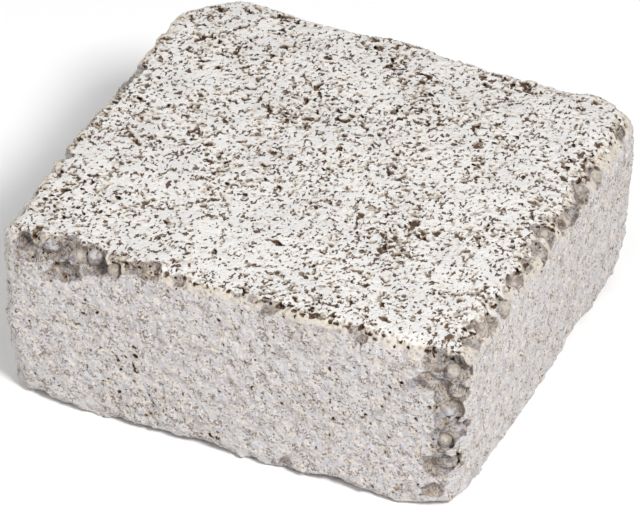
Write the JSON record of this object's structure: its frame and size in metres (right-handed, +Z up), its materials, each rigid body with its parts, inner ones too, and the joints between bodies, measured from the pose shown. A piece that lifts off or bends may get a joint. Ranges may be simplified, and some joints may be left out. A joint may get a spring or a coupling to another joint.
{
  "type": "tumbled concrete paving block",
  "caption": "Square tumbled concrete block with a porous flat top, bruised edges and bare stones of the mix, laid as paving or edging.",
  "frame": {"origin": "centre of the base, on the ground", "axes": "+Z up out of the top face, +X out of the right side face, -Y out of the front side face"},
  "size_m": [0.1498, 0.1498, 0.06],
  "materials": {
    "concrete": "matt pale cement, porous and gritty, with brown-shadowed pores",
    "grey_stone": "matt, smooth blue-grey gravel",
    "tan_stone": "matt tan gravel",
    "brown_stone": "matt brown gravel"
  },
  "bodies": {
    "root": {"back_left_stone_1": "grey_stone", "back_left_stone_2": "brown_stone", "back_left_stone_3": "grey_stone", "back_right_stone_1": "tan_stone", "back_right_stone_2": "grey_stone", "back_right_stone_3": "tan_stone", "concrete_body": "concrete", "front_edge_stone_1": "grey_stone", "front_edge_stone_2": "tan_stone", "front_edge_stone_3": "grey_stone", "front_edge_stone_4": "tan_stone", "front_right_stone_1": "grey_stone", "front_right_stone_2": "brown_stone", "front_right_stone_3": "tan_stone", "front_right_stone_4": "grey_stone", "front_right_stone_5": "grey_stone", "front_right_stone_6": "brown_stone", "front_right_stone_7": "tan_stone", "right_edge_stone_1": "brown_stone", "right_edge_stone_2": "tan_stone", "right_edge_stone_3": "brown_stone", "right_edge_stone_4": "tan_stone", "right_edge_stone_5": "brown_stone", "right_edge_stone_6": "tan_stone", "right_edge_stone_7": "brown_stone", "right_edge_stone_8": "tan_stone"}
  },
  "joints": []
}
